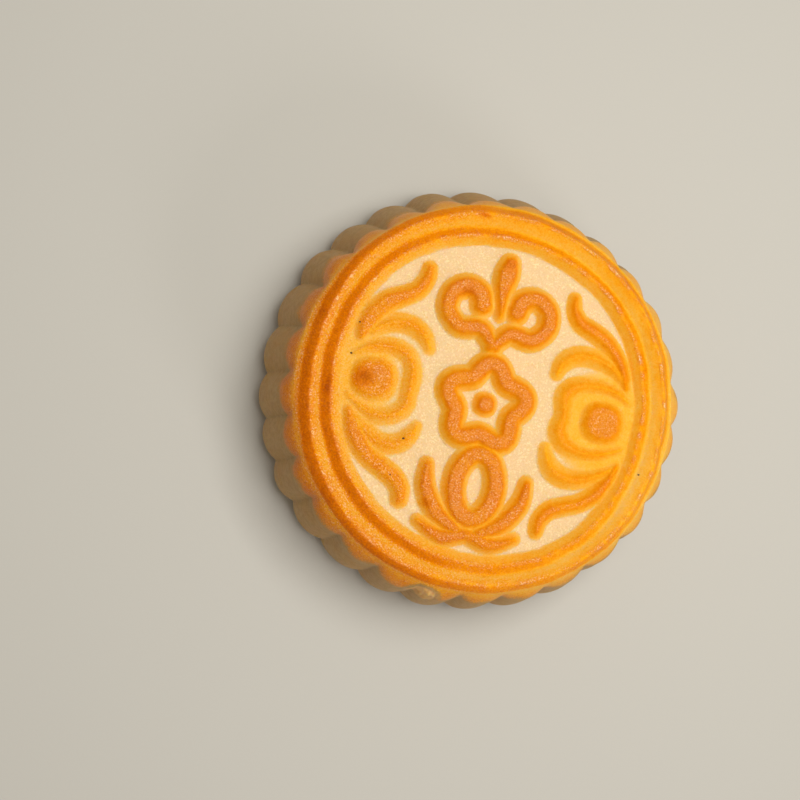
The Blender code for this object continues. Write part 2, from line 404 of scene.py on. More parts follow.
        # painted light: lighten the outer tones of the rim on the side that faces the side lamp
        painted_light = self.painted_light(angle)
        tones = tones[:4] + [tone - np.minimum(painted_light, 0.3 * tone) for tone in tones[4:-1]] + [self.ledge_tone(angle)]
        # crest band: toasting, and above 1 painted sparkle along the crests
        patchy = np.clip(0.45 + 0.6 * self.painted_sparkle_patches.at(x, y), 0.0, 1.0)
        crests = ease(-np.abs(radius - inner), -0.50, -0.10) + ease(-np.abs(radius - outer), -0.50, -0.10)
        between = ease(radius, low, low + 0.6) - ease(radius, outer - 0.4, outer)
        grain = self.crest_toast_and_sparkle * crests * patchy + self.slope_grain * brown_and_shade * between
        grain = grain + self.ledge_toast * brown_and_shade * ease(radius, last - 0.1, last + 0.3)
        return Relief(height, rounded_line(radius, list(zip(places, tones))), grain)


FLAME = Pressing(1.4, 1.6, 0.32, 0.60, 0.58)
CRESCENT = Pressing(1.3, 2.0, 0.30, 0.50, 0.48)
PEARL = Pressing(1.5, 2.0, 0.33, 0.58, 0.72)
GROUND = Pressing(0.55, 3.0, 0.14, 0.30, 0.0)
COLUMN = Pressing(1.7, 1.6, 0.28, 0.64, 0.82)


@dataclass(frozen=True)
class SideOrnaments:
    """Flames, crescents, the clasp and its pearl on one half of the face, on a low mound."""

    side: int
    flames: tuple[tuple[Row, ...], ...]
    crescents: tuple[tuple[Row, ...], ...]
    pearl: tuple[float, float]
    ground: tuple[float, float]
    ground_reach: tuple[float, float]
    pearl_reach: tuple[float, float] = (4.7, 4.5)

    def pieces(self) -> list[Stroke | Boss]:
        """Return every ornament of this half, at its place on the face."""
        made: list[Stroke | Boss] = [Boss((self.side * self.ground[0], self.ground[1]), self.ground_reach, GROUND)]
        for points in self.flames:
            made.append(Stroke(points, FLAME).moved((0.0, 0.0), self.side))
        for points in self.crescents:
            made.append(Stroke(points, CRESCENT).moved((0.0, 0.0), self.side))
        made.append(Boss((self.side * self.pearl[0], self.pearl[1]), self.pearl_reach, PEARL))
        return made


RIGHT_HALF = SideOrnaments(
    side=1,
    flames=(
        ((11.7, 19.3, 1.6), (12.1, 17.2, 1.8), (13.6, 15.4, 2.0), (15.9, 14.5, 2.1), (18.4, 13.2, 2.1),
         (20.6, 11.2, 2.0), (22.2, 8.8, 1.8), (23.4, 6.0, 1.4)),
        ((12.5, -20.8, 1.7), (12.7, -18.9, 1.9), (14.1, -16.9, 2.0), (16.4, -15.8, 2.0), (19.0, -14.7, 2.0),
         (21.4, -12.7, 2.0), (23.1, -10.0, 1.8), (24.2, -7.4, 1.4)),
    ),
    crescents=(
        ((11.0, 6.2, 1.6), (11.6, 8.0, 2.0), (13.2, 9.5, 2.2), (15.4, 10.1, 2.2), (18.2, 9.8, 2.1),
         (20.8, 8.6, 1.9), (23.2, 6.6, 1.5)),
        ((11.4, -6.6, 1.5), (12.2, -8.7, 2.0), (13.9, -10.4, 2.3), (16.6, -11.0, 2.2), (19.6, -10.2, 2.0),
         (22.2, -8.8, 1.7), (24.0, -7.2, 1.3)),
        ((24.4, 3.6, 1.4), (22.4, 4.8, 1.8), (19.6, 5.4, 2.0), (16.6, 5.2, 2.1), (14.3, 4.3, 2.3), (13.2, 2.6, 2.4),
         (13.4, 0.6, 2.2), (13.5, -1.2, 2.2), (13.2, -3.2, 2.4), (14.4, -5.2, 2.3), (16.8, -6.1, 2.1),
         (19.6, -6.2, 1.9), (22.2, -5.4, 1.7), (24.4, -4.4, 1.4)),
    ),
    pearl=(20.3, -0.5),
    ground=(20.5, -0.8),
    ground_reach=(9.0, 10.5),
)

LEFT_HALF = SideOrnaments(
    side=-1,
    flames=(
        ((13.9, 19.2, 1.7), (14.1, 17.4, 1.9), (15.2, 15.3, 2.0), (17.2, 13.9, 2.1), (19.6, 12.5, 2.3),
         (21.5, 10.3, 2.4), (22.7, 7.9, 2.2), (23.2, 5.8, 1.6)),
        ((11.6, -19.8, 1.9), (11.9, -18.1, 2.1), (13.2, -16.5, 2.2), (15.6, -15.1, 2.2), (18.2, -13.7, 2.2),
         (20.3, -11.6, 2.3), (21.8, -9.2, 2.1), (22.9, -6.8, 1.6)),
    ),
    crescents=(
        ((11.4, 6.0, 1.5), (12.6, 7.8, 1.9), (14.6, 9.0, 2.1), (17.0, 9.3, 2.1), (19.4, 8.6, 2.0), (21.4, 7.0, 1.7)),
        ((11.1, -7.4, 1.4), (12.1, -9.3, 1.9), (13.9, -10.8, 2.1), (16.5, -11.1, 2.1), (19.0, -9.9, 2.0),
         (21.2, -8.1, 1.7), (23.0, -6.6, 1.3)),
        ((23.6, 2.8, 1.5), (21.0, 4.4, 1.9), (17.8, 5.0, 2.0), (15.0, 4.3, 2.0), (13.6, 2.3, 2.0), (13.4, 0.0, 2.1),
         (13.5, -2.2, 2.0), (13.7, -4.4, 2.0), (15.4, -6.1, 2.0), (18.1, -6.7, 2.0), (21.0, -5.8, 1.8),
         (23.6, -4.2, 1.5)),
    ),
    pearl=(19.9, -0.9),
    ground=(22.0, -0.8),
    ground_reach=(7.0, 9.5),
)


@dataclass(frozen=True)
class ColumnOrnaments:
    """The cloud, the blossom and the lotus that stand one above another in the middle."""

    half_width: float = 2.55
    cloud_centre: tuple[float, float] = (-0.9, 15.4)
    cloud_stem: tuple[Row, ...] = ((-0.5, -7.2, 1.8), (0.9, -5.9, 2.1))
    cloud_bud: tuple[Row, ...] = ((0.3, -1.6, 1.5), (-0.1, 2.4, 2.2), (0.1, 5.2, 2.7), (0.4, 7.4, 2.3))
    curl_centre: tuple[float, float] = (5.3, -0.6)
    curl_reach: tuple[float, float] = (4.5, 2.3)
    curl_turn: tuple[float, float] = (-125.0, 175.0)
    curl_width: tuple[float, float] = (2.3, 2.6)
    curl_points: int = 7
    blossom_centre: tuple[float, float] = (-0.3, -1.4)
    blossom_petals: int = 5
    blossom_radius: float = 6.1
    blossom_lobe: float = 0.95
    heart_reach: float = 2.4
    lotus_centre: tuple[float, float] = (0.6, -16.4)
    petal_reach: tuple[float, float] = (3.5, 5.5)
    petal_lift: float = 1.1
    outline_points: int = 40
    lotus_side: tuple[Row, ...] = ((2.0, -6.6, 1.9), (5.6, -4.4, 2.3), (8.2, -0.6, 2.2), (8.7, 3.2, 1.7))
    lotus_leaf: tuple[Row, ...] = ((-8.5, -6.3, 1.5), (-4.2, -8.2, 2.1), (0.1, -7.2, 2.0), (4.3, -8.1, 2.1), (8.4, -6.4, 1.5))

    def curl(self) -> tuple[Row, ...]:
        """Return the cloud's scroll, from its stem round to the knob inside the curl."""
        share = np.linspace(0.0, 1.0, self.curl_points)
        turn = np.radians(self.curl_turn[0] + share * (self.curl_turn[1] - self.curl_turn[0]))
        reach = self.curl_reach[0] + share * (self.curl_reach[1] - self.curl_reach[0])
        width = self.curl_width[0] + share * (self.curl_width[1] - self.curl_width[0])
        x = self.curl_centre[0] + reach * np.cos(turn)
        y = self.curl_centre[1] + reach * np.sin(turn)
        return self.cloud_stem + tuple(zip(x.tolist(), y.tolist(), width.tolist()))

    def loop(self, reach: tuple[float, float], lift: float, petals: int, lobe: float) -> tuple[Row, ...]:
        """Return a closed outline, plain or with rounded lobes.

        Args:
            reach: Half width and half length.
            lift: Height of the outline's middle over the ornament's centre.
            petals: How many lobes stand out.
            lobe: How far each lobe stands out.

        Returns:
            Points of the outline with the stroke's half width.
        """
        turn = np.linspace(0.0, math.tau, self.outline_points, endpoint=False)
        swell = lobe * np.cos(petals * turn)
        x = (reach[0] + swell) * np.sin(turn)
        y = (reach[1] + swell) * np.cos(turn) + lift
        return tuple((across, along, self.half_width) for across, along in zip(x.tolist(), y.tolist()))

    def pieces(self) -> list[Stroke | Boss]:
        """Return every ornament of the column."""
        round_reach = (self.blossom_radius, self.blossom_radius)
        blossom = self.loop(round_reach, 0.0, self.blossom_petals, self.blossom_lobe)
        petal = self.loop(self.petal_reach, self.petal_lift, 0, 0.0)
        made: list[Stroke | Boss] = []
        for side in (1, -1):
            made.append(Stroke(self.curl(), COLUMN).moved(self.cloud_centre, side))
            made.append(Stroke(self.lotus_side, COLUMN).moved(self.lotus_centre, side))
        made.append(Stroke(self.cloud_bud, COLUMN).moved(self.cloud_centre))
        made.append(Stroke(self.lotus_leaf, COLUMN).moved(self.lotus_centre))
        made.append(Stroke(petal, COLUMN, closed=True).moved(self.lotus_centre))
        made.append(Stroke(blossom, COLUMN, closed=True).moved(self.blossom_centre))
        made.append(Boss(self.blossom_centre, (self.heart_reach, self.heart_reach), replace(COLUMN, flank=1.3)))
        return made


@dataclass(frozen=True)
class PressedFace:
    """The whole pressed top: rim, side ornaments and column, with the unevenness of dough."""

    rim: Rim = Rim()
    halves: tuple[SideOrnaments, ...] = (RIGHT_HALF, LEFT_HALF)
    column: ColumnOrnaments = ColumnOrnaments()
    scorches: tuple[Scorch, ...] = (
        Scorch((-21.6, -0.9), (3.0, 2.8), 0.21),
        Scorch((-21.3, -0.9), (1.5, 1.3), 0.08),
        Scorch((-26.9, -3.5), (1.3, 2.8), 0.10),
        Scorch((-6.7, 29.9), (1.6, 0.6), 0.25),
        Scorch((-7.4, -19.6), (1.6, 1.3), 0.16),
        Scorch((-6.9, 16.5), (1.8, 1.6), 0.14),
        Scorch((-0.8, 22.4), (1.5, 1.5), 0.12),
    )
    fillet: float = 0.16
    unevenness: float = 0.05

    def relief(self, x: np.ndarray, y: np.ndarray) -> Relief:
        """Return the height over the floor and the marks at points of the face."""
        face = self.rim.relief(x, y)
        pieces = self.column.pieces()
        for half in self.halves:
            pieces += half.pieces()
        for piece in pieces:
            face = face.joined(piece.relief(x, y), self.fillet)
        wave = self.unevenness * (Ripple(21, 7.0).at(x, y) + 0.5 * Ripple(22, 2.3).at(x, y))
        burn = sum(scorch.at(x, y) for scorch in self.scorches)
        return Relief(face.height + wave, face.baked + burn, face.toasted * np.clip(1.0 - 3.0 * burn, 0.2, 1.0))


@dataclass(frozen=True)
class SideRow:
    """One row of the side: where it runs and how far the flutes and the rim's stray reach it."""

    radius: float
    height: float
    flute: float = 0.0
    edge_share: float = 0.0
    lean_share: float = 0.0
    lift_share: float = 0.0


@dataclass(frozen=True)
class FlutedSide:
    """The shoulder, the fluted wall and the foot, given as rows from the ledge to the base."""

    flutes: int = 28
    turn: float = 3.3
    depth: float = 1.3
    roundness: float = 2.2
    shoulder_drop: float = 6.0
    lean: float = 2.7
    lean_drift: Drift = Drift(((1, 0.75, 258.0),))
    fringe_drift: Drift = Drift(((1, 1.4, 130.0),))
    bulge_height: float = 5.0
    shoulder_rows: int = 12
    shoulder_start: float = 58.0
    wall_rows: int = 9
    flute_start: float = 1.7
    foot_corner: tuple[Row, ...] = ((0.05, 3.2, 1.0), (0.2, 1.8, 1.0), (0.55, 0.8, 0.95), (1.0, 0.2, 0.8), (1.6, 0.0, 0.6))
    base_rings: tuple[float, ...] = (30.0, 20.0, 10.0, 3.0)
    uneven_depth: float = 0.14
    blister: Scorch = Scorch((-4.3, -34.6), (4.2, 2.1), 1.0)
    blister_lumps: Ripple = Ripple(32, 1.4)
    blister_rise: float = 0.36
    blister_span: tuple[float, float] = (15.0, 18.5)
    uneven_turn: float = 0.05

    def rows(self, edge: SideRow, height: float, half_width: float) -> list[SideRow]:
        """Return the rows of the side, from the ledge down to the middle of the base.

        Args:
            edge: The row that the shoulder starts from.
            height: Height of the cake.
            half_width: Largest radius of the cake, over a flute.

        Returns:
            The rows, the first being the ledge's edge.
        """
        foot = half_width - self.depth
        top = foot - self.lean
        shoulder = height - self.shoulder_drop
        rows = [edge]
        start = math.radians(self.shoulder_start)
        for row in range(1, self.shoulder_rows + 1):
            turn = start * (1.0 - row / self.shoulder_rows)
            out = (math.cos(turn) - math.cos(start)) / (1.0 - math.cos(start))
            up = math.sin(turn) / math.sin(start)
            radius = edge.radius + (top - edge.radius) * out
            rise = shoulder + (edge.height - shoulder) * up
            rows.append(SideRow(radius, rise, self.depth * out**self.flute_start, 1.0 - out, out, up))
        for row in range(1, self.wall_rows + 1):
            share = row / self.wall_rows
            rise = shoulder + share * (self.bulge_height - shoulder)
            radius = foot - self.lean * (1.0 - share) ** 1.5
            rows.append(SideRow(radius, rise, self.depth, lean_share=1.0 - share))
        for inset, rise, flute in self.foot_corner:
            rows.append(SideRow(foot - inset, rise, self.depth * flute))
        for radius in self.base_rings:
            rows.append(SideRow(radius, 0.0))
        return rows

    def blistered(self, x: np.ndarray, y: np.ndarray, height: np.ndarray) -> np.ndarray:
        """Return how strongly each point is blistered; only the shoulder is."""
        return self.blister.at(x, y) * ease(height, *self.blister_span)

    def bulge(self, angle: np.ndarray) -> np.ndarray:
        """Return how far the flutes stand out of their grooves, from 0 to about 1."""
        draw = np.random.default_rng(31)
        depths = 1.0 + self.uneven_depth * draw.uniform(-1.0, 1.0, self.flutes)
        place = (np.degrees(angle) - self.turn) * self.flutes / 360.0
        place = place + self.uneven_turn * np.sin(angle * 5.0 + 1.0)
        index = np.floor(place).astype(int) % self.flutes
        across = 2.0 * (place - np.floor(place)) - 1.0
        return depths[index] * (1.0 - np.abs(across) ** self.roundness)


@dataclass
class Cake:
    """The mooncake's skin, laid out flat, formed and dressed."""

    face: PressedFace = field(default_factory=PressedFace)
    wall: FlutedSide = field(default_factory=FlutedSide)
    cells: int = 203
    face_rows: int = 34
    layout_step: float = 0.5
    crest_relief: float = 2.1
    lump: Ripple = Ripple(41, 13.0)
    lump_reach: float = 0.12
    rim_grain: float = 0.10
    brown_grain: float = 0.60
    face_grain: float = 0.55

    def __post_init__(self) -> None:
        """Take the cake's outer sizes from its part in model.glb and work out the rows of its side."""
        low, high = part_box(NODE)
        self.height = (high.z - low.z) / MM
        self.half_width = (high.x - low.x) / MM / 2.0
        rim = self.face.rim
        self.floor_height = self.height - self.crest_relief
        self.ledge_rise = rim.outer_rise - rim.ledge_drop
        edge = SideRow(rim.edge, self.floor_height + self.ledge_rise, 0.0, 1.0, 0.0, 1.0)
        self.side_rows = self.wall.rows(edge, self.height, self.half_width)

    def laid_out(self) -> bmesh.types.BMesh:
        """Return the flat skin: a round grid for the floor and rings of quads around it."""
        skin = bmesh.new()
        bmesh.ops.create_grid(skin, x_segments=self.cells, y_segments=self.cells, size=1.0)
        for vert in skin.verts:
            vert.co = self.rounded(vert.co) * self.face.rim.floor
        edges = [edge for edge in skin.edges if edge.is_boundary]
        step = (self.face.rim.edge - self.face.rim.floor) / self.face_rows
        reaches = [self.face.rim.floor + step * (row + 1) for row in range(self.face_rows)]
        reaches += [self.face.rim.edge + self.layout_step * row for row in range(1, len(self.side_rows))]
        for reach in reaches:
            grown = bmesh.ops.extrude_edge_only(skin, edges=edges)["geom"]
            edges = [item for item in grown if isinstance(item, bmesh.types.BMEdge) and item.is_boundary]
            for vert in (item for item in grown if isinstance(item, bmesh.types.BMVert)):
                vert.co = vert.co.normalized() * reach
        bmesh.ops.edgeloop_fill(skin, edges=edges)
        return skin

    @staticmethod
    def rounded(corner: Vector) -> Vector:
        """Return where a point of a square from -1 to 1 goes in a round disc of radius 1."""
        a, b = corner.x, corner.y
        if max(abs(a), abs(b)) < 1e-9:
            return Vector((0.0, 0.0, 0.0))
        if abs(a) > abs(b):
            reach, turn = a, math.pi / 4 * b / a
        else:
            reach, turn = b, math.pi / 2 - math.pi / 4 * a / b
        return Vector((reach * math.cos(turn), reach * math.sin(turn), 0.0))

    def form(self, flat: np.ndarray) -> tuple[np.ndarray, dict[Mark, np.ndarray]]:
        """Return the formed skin and its marks.

        Args:
            flat: Points of the flat skin.

        Returns:
            The points in millimetres, and a value for each mark at each point.
        """
        rim = self.face.rim
        reach, angle = np.hypot(flat[:, 0], flat[:, 1]), np.arctan2(flat[:, 1], flat[:, 0])
        stations = rim.edge + self.layout_step * np.arange(len(self.side_rows))
        table = np.array([astuple(row) for row in self.side_rows])
        radius, height, flute, edge_share, lean_share, lift_share = (
            np.interp(reach, stations, column) for column in table.T
        )
        on_face = reach <= rim.edge + 1e-4
        stray = rim.edge_at(angle) - rim.edge
        stretched = reach + stray * np.clip((reach - rim.floor) / (rim.edge - rim.floor), 0.0, 1.0)
        side = radius + stray * edge_share + self.wall.lean_drift.at(angle) * lean_share
        radius = np.where(on_face, stretched, side)
        relief = self.face.relief(radius * np.cos(angle), radius * np.sin(angle))
        sunk = height + (rim.ledge_at(angle) - self.ledge_rise) * lift_share
        height = np.where(on_face, self.floor_height + relief.height, sunk)
        bulge = self.wall.bulge(angle)
        lump = self.lump_reach * self.lump.at(flat[:, 0], flat[:, 1])
        radius = radius + flute * bulge + lump * ease(radius, 30.0, 33.0) * (height > 0.5)
        x, y = radius * np.cos(angle), radius * np.sin(angle)
        raised = self.wall.blistered(x, y, height) * ~on_face
        lumps = self.wall.blister_rise * raised * np.abs(self.wall.blister_lumps.at(x, y + height))
        points = np.stack([x, y - lumps, height + lumps], axis=1)
        return points, self.marks(points, on_face, angle, relief)

    def marks(
        self, points: np.ndarray, on_face: np.ndarray, angle: np.ndarray, relief: Relief
    ) -> dict[Mark, np.ndarray]:
        """Return how baked, toasted and pale the skin is at each point, the baking holding painted shade on the side
        away from the lamps.

        Args:
            points: The formed points.
            on_face: Which of them belong to the pressed face.
            angle: Their angles around the cake.
            relief: The face's relief at the points.

        Returns:
            A value for each mark at each point.
        """
        rim = self.face.rim
        down = self.height - points[:, 2]
        brown_and_shade = rim.browning_and_shade(angle)
        x, y = points[:, 0], points[:, 1]
        blister = self.wall.blistered(x, y, points[:, 2]) * ~on_face
        fringe = 3.2 - 2.6 * blister + 1.2 * self.wall.bulge(angle) + 1.0 * Ripple(51, 5.0).at(x, y)
        side = np.where(on_face, 0.0, ease(down - fringe - self.wall.fringe_drift.at(angle), -1.6, 3.2)) + blister
        ledge_tone = rim.ledge_tone(angle)
        lobe = ease(down, 1.2, 2.6)
        # the shoulder lobes are darker on the side away from the lamps: partly browning, partly painted shade
        baked = np.where(on_face, relief.baked, ledge_tone + (0.38 + 0.32 * brown_and_shade - ledge_tone) * lobe)
        toasted = np.where(on_face, relief.toasted, 0.0)
        reach = np.hypot(x, y)
        on_rim = ease(reach, rim.floor, rim.floor + 1.5)
        grainy = 1.0 - ease(baked, 0.06, 0.2) + toasted + on_rim * (self.rim_grain + self.brown_grain * brown_and_shade)
        grainy = grainy + (1.0 - on_rim) * self.face_grain * brown_and_shade * ease(reach, 6.0, 16.0)
        return {
            Mark.BAKED: baked,
            Mark.TOASTED: toasted,
            Mark.SIDE: side,
            Mark.FOOT: np.where(points[:, 2] < 0.6, 1.0, 0.0),
            Mark.GRAINY: np.clip(grainy, 0.0, 1.0),
        }

    def build(self) -> bpy.types.Object:
        """Make the cake as one closed, smooth object standing on its base."""
        skin = self.laid_out()
        mesh = bpy.data.meshes.new("cake_skin")
        skin.to_mesh(mesh)
        flat = np.empty(len(mesh.vertices) * 3)
        mesh.vertices.foreach_get("co", flat)
        points, marks = self.form(flat.reshape(-1, 3))
        mesh.vertices.foreach_set("co", (points * MM).ravel())
        skin.clear()
        skin.from_mesh(mesh)
        bmesh.ops.recalc_face_normals(skin, faces=skin.faces)
        skin.to_mesh(mesh)
        skin.free()
        for mark, values in marks.items():
            attribute = mesh.attributes.new(mark.value, "FLOAT", "POINT")
            attribute.data.foreach_set("value", values.astype(np.float32))
        mesh.shade_smooth()
        cake = bpy.data.objects.new("cake", mesh)
        bpy.context.collection.objects.link(cake)
        return cake


@dataclass(frozen=True)
class BurntFlecks:
    """The few specks of burnt crumb that lie on the face."""

    places: tuple[Row, ...] = (
        (-23.85, 7.93, 0.17), (-24.24, 2.57, 0.19), (-12.91, -9.74, 0.21), (28.11, -7.96, 0.17), (-14.0, -16.1, 0.12),
    )
    sides: int = 8

    def build(self, cake: Cake) -> bpy.types.Object:
        """Make all flecks as one piece that rests on the pressed face.

        Args:
            cake: The cake that they lie on.

        Returns:
            The flecks.
        """
        heap = bmesh.new()
        for x, y, reach in self.places:
            relief = cake.face.relief(np.array([x]), np.array([y]))
            height = cake.floor_height + float(relief.height[0])
            place = Matrix.Translation(Vector((x, y, height)) * MM) @ Matrix.Diagonal((1.25, 0.9, 0.6, 1.0))
            bmesh.ops.create_uvsphere(
                heap, u_segments=self.sides, v_segments=self.sides // 2, radius=reach * MM, matrix=place
            )
        for face in heap.faces:
            face.smooth = True
        mesh = bpy.data.meshes.new("burnt_flecks")
        heap.to_mesh(mesh)
        heap.free()
        flecks = bpy.data.objects.new("burnt_flecks", mesh)
        bpy.context.collection.objects.link(flecks)
        return flecks


class Nodes:
    """A short hand for placing and joining shader nodes in one tree."""

    def __init__(self, tree: bpy.types.NodeTree) -> None:
        """Work in the given node tree."""
        self.tree = tree

    def add(self, kind: str, settings: dict | None = None, **inputs: object) -> bpy.types.Node:
        """Place a node.

        Args:
            kind: The node's type name.
            settings: Values for the node's own properties.
            **inputs: Values or sockets for its inputs, by name with _ for a space.

        Returns:
            The node.
        """
        node = self.tree.nodes.new(kind)
        for name, value in (settings or {}).items():
            setattr(node, name, value)
        for name, value in inputs.items():
            self.feed(node, name.replace("_", " "), value)
        return node

    def feed(self, node: bpy.types.Node, name: str | int, value: object) -> None:
        """Set one input to a value or join a socket to it."""
        if isinstance(value, bpy.types.NodeSocket):
            self.tree.links.new(value, node.inputs[name])
        else:
            node.inputs[name].default_value = value

    def maths(self, operation: str, first: object, second: object = 0.0, clamp: bool = False) -> bpy.types.NodeSocket:
        """Return the result of a sum on two values."""
        node = self.add("ShaderNodeMath", {"operation": operation, "use_clamp": clamp})
        self.feed(node, 0, first)
        self.feed(node, 1, second)
        return node.outputs[0]

    def spread(self, value: object, low: float, high: float, to_low: float, to_high: float) -> bpy.types.NodeSocket:
        """Return a value moved smoothly from one range to another."""
        node = self.add("ShaderNodeMapRange", {"interpolation_type": "SMOOTHSTEP"})
        for name, item in zip(("Value", "From Min", "From Max", "To Min", "To Max"), (value, low, high, to_low, to_high)):
            self.feed(node, name, item)
        return node.outputs[0]

    def blend(self, share: object, first: object, second: object, way: str = "MIX") -> bpy.types.NodeSocket:
        """Return a mix of two colours."""
        node = self.add("ShaderNodeMix", {"data_type": "RGBA", "blend_type": way})
        self.feed(node, 0, share)
        self.feed(node, 6, first)
        self.feed(node, 7, second)
        return node.outputs[2]

    def painted(self, mark: Mark) -> bpy.types.NodeSocket:
        """Return a mark's value from the skin."""
        return self.add("ShaderNodeAttribute", {"attribute_name": mark.value}).outputs["Fac"]

    def noise(self, place: object, scale: float, detail: float = 2.0, rough: float = 0.5) -> bpy.types.NodeSocket:
        """Return soft noise at a place, about 0.3 to 0.7."""
        node = self.add("ShaderNodeTexNoise", Vector=place, Scale=scale, Detail=detail, Roughness=rough)
        return node.outputs["Fac"]


def pastry_grain() -> bpy.types.NodeTree:
    """Return the group for the fine grain of flour: a height and a scatter of pits.

    Returns:
        The node group, with inputs Place and Scale and outputs Height and Pits.
    """
    group = bpy.data.node_groups.new("pastry_grain", "ShaderNodeTree")
    group.interface.new_socket("Place", in_out="INPUT", socket_type="NodeSocketVector")
    group.interface.new_socket("Scale", in_out="INPUT", socket_type="NodeSocketFloat")
    group.interface.new_socket("Height", in_out="OUTPUT", socket_type="NodeSocketFloat")
    group.interface.new_socket("Pits", in_out="OUTPUT", socket_type="NodeSocketFloat")
    nodes = Nodes(group)
    given = nodes.add("NodeGroupInput")
    result = nodes.add("NodeGroupOutput")
    fine = nodes.add("ShaderNodeTexNoise", Vector=given.outputs["Place"], Scale=given.outputs["Scale"], Detail=3.0)
    cells = nodes.add("ShaderNodeTexVoronoi", Vector=given.outputs["Place"], Scale=given.outputs["Scale"])
    pits = nodes.spread(cells.outputs["Distance"], 0.05, 0.35, 1.0, 0.0)
    height = nodes.maths("SUBTRACT", fine.outputs["Fac"], nodes.maths("MULTIPLY", pits, 0.35))
    nodes.feed(result, "Height", height)
    nodes.feed(result, "Pits", pits)
    return group


@dataclass(frozen=True)
class EggWashedCrust:
    """The crust: cream where the mould kept it pale, golden on the slopes, toasted on top, with painted glints and
    side colours darkened as painted shade.
    """

    bake: tuple[Colour, ...] = (
        (0.79, 0.585, 0.365, 1.0),
        (0.82, 0.520, 0.170, 1.0),
        (0.85, 0.455, 0.062, 1.0),
        (0.85, 0.375, 0.014, 1.0),
        (0.80, 0.280, 0.001, 1.0),
        (0.70, 0.185, 0.000, 1.0),
        (0.51, 0.103, 0.000, 1.0),
        (0.34, 0.034, 0.001, 1.0),
    )
    toasted: Colour = (0.75, 0.258, 0.066, 1.0)
    # painted highlight: the glint colour mixed over the baked crust; the whitish specks on the pale floor are partly
    # flour, partly painted glint
    painted_glint: Colour = (0.95, 0.66, 0.40, 1.0)
    flour_and_glint: Colour = (0.95, 0.76, 0.52, 1.0)
    # painted shade: the side's tan, pale and floury colours are darker than the dough's own pale colour, standing in
    # for the shade on the wall
    tan_side_in_painted_shade: Colour = (0.52, 0.245, 0.045, 1.0)
    pale_side_in_painted_shade: Colour = (0.43, 0.262, 0.120, 1.0)
    floury_side_in_painted_shade: Colour = (0.50, 0.320, 0.158, 1.0)
    crumb: Colour = (0.78, 0.45, 0.19, 1.0)
    foot: Colour = (0.55, 0.27, 0.08, 1.0)

    def material(self, grain: bpy.types.NodeTree) -> bpy.types.Material:
        """Return the crust's material.

        Args:
            grain: The shared grain group.

        Returns:
            A material that reads the marks on the skin.
        """
        made = bpy.data.materials.new("egg_washed_crust")
        made.use_nodes = True
        nodes = Nodes(made.node_tree)
        shader = made.node_tree.nodes["Principled BSDF"]
        place = nodes.add("ShaderNodeTexCoord").outputs["Object"]
        millimetres = nodes.add("ShaderNodeMapping", Vector=place, Scale=(1 / MM, 1 / MM, 1 / MM)).outputs[0]
        fine = nodes.add("ShaderNodeGroup", {"node_tree": grain}, Place=millimetres, Scale=3.4)
        patches = nodes.noise(millimetres, 0.16, 3.0)
        crumbs = nodes.noise(millimetres, 1.1, 3.0, 0.6)
        flecks = nodes.noise(millimetres, 3.3, 3.0, 0.65)
        painted_glint_spots = nodes.noise(millimetres, 3.4, 2.0)
        marks = (Mark.BAKED, Mark.TOASTED, Mark.SIDE, Mark.GRAINY)
        baked, toasted, pale, grainy = (nodes.painted(mark) for mark in marks)
        drift = nodes.maths("MULTIPLY", nodes.maths("SUBTRACT", patches, 0.5), 0.22)
        coarse = nodes.maths("MULTIPLY", nodes.maths("SUBTRACT", crumbs, 0.5), 0.30)
        fleck_reach = nodes.spread(grainy, 0.0, 1.0, 0.35, 0.95)
        speckle = nodes.maths("MULTIPLY", nodes.maths("SUBTRACT", flecks, 0.5), fleck_reach)
        uneven = nodes.maths("ADD", nodes.maths("ADD", drift, coarse), speckle)
        bare = nodes.spread(baked, 0.0, 0.14, 1.0, 0.0)
        coarse_skin = nodes.spread(grainy, 0.0, 1.0, 0.25, 1.0)
        uneven = nodes.maths("MULTIPLY", uneven, nodes.spread(baked, 0.0, 0.4, 0.24, 1.0))
        uneven = nodes.maths("MULTIPLY", uneven, nodes.spread(baked, 0.55, 0.75, 1.0, 0.6))
        tone = nodes.maths("ADD", baked, uneven, clamp=True)
        ramp = nodes.add("ShaderNodeValToRGB", Fac=tone)
        self.set_ramp(ramp.color_ramp)
        top = nodes.maths("MULTIPLY", toasted, nodes.spread(flecks, 0.38, 0.60, 1.0, 0.25))
        top = nodes.maths("MULTIPLY", top, nodes.spread(patches, 0.36, 0.60, 0.45, 1.0))
        face = nodes.blend(top, ramp.outputs["Color"], self.toasted)
        # painted glints: bright specks mixed into the colour where the crust is grainy, with flour-and-glint specks
        # on the pale floor
        glint_and_flour_specks = nodes.spread(painted_glint_spots, 0.50, 0.66, 0.0, 1.0)
        glint_and_flour_specks = nodes.maths("MULTIPLY", glint_and_flour_specks, nodes.spread(crumbs, 0.38, 0.56, 0.3, 1.0))
        glint_and_flour_specks = nodes.maths("MULTIPLY", glint_and_flour_specks, nodes.spread(grainy, 0.15, 1.0, 0.0, 0.85))
        glint_and_flour_specks = nodes.maths("MULTIPLY", glint_and_flour_specks, nodes.spread(baked, 0.60, 0.76, 1.0, 0.08))
        glint_and_flour_specks = nodes.maths("MULTIPLY", glint_and_flour_specks, nodes.spread(baked, 0.10, 0.40, 1.0, 0.70))
